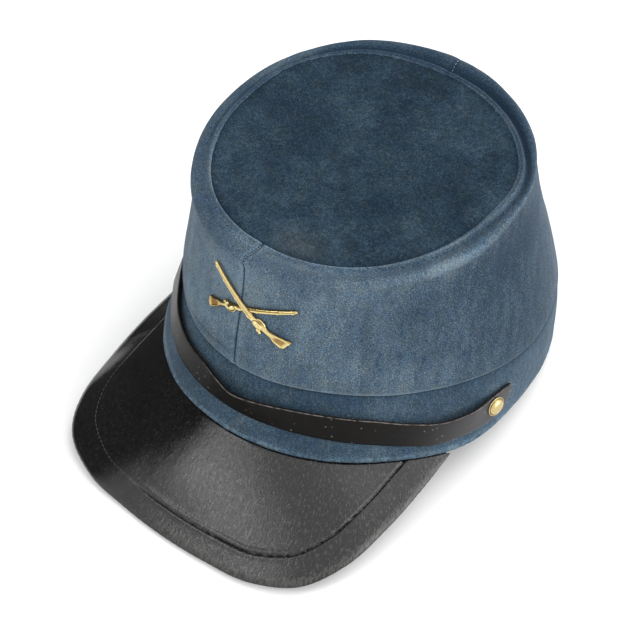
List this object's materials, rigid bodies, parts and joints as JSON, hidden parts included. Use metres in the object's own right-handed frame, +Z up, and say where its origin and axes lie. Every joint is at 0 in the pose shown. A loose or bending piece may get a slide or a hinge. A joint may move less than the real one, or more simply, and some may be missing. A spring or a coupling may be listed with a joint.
{
  "type": "kepi cap",
  "caption": "Forage cap with a forward-leaning suede crown, sunk round top, upright band, drooping leather peak, buttoned chin strap and a crossed-rifles badge.",
  "frame": {"origin": "on the surface the cap rests on, under the middle of its length, in its plane of symmetry", "axes": "+Z up, -Y the way the peak points, +X to the wearer's left; the cap is tipped back 9.3 degrees, as it rests on its peak and the back of its band"},
  "size_m": [0.1783, 0.2504, 0.1294],
  "materials": {
    "crown_suede": "napped blue suede, mottled",
    "top_suede": "napped blue suede, mottled, darker",
    "band_suede": "napped blue suede, rubbed pale at the lower edge",
    "peak_leather": "black pebble-grained leather, semi-gloss",
    "strap_leather": "smooth black leather, semi-gloss",
    "button_brass": "polished",
    "badge_brass": "polished stamped brass"
  },
  "bodies": {
    "root": {"crown_side_left": "crown_suede", "crown_side_right": "crown_suede", "crown_top": "top_suede", "band": "band_suede", "peak": "peak_leather", "chin_strap": "strap_leather", "button_left": "button_brass", "button_right": "button_brass", "crossed_rifles_badge": "badge_brass"}
  },
  "joints": []
}
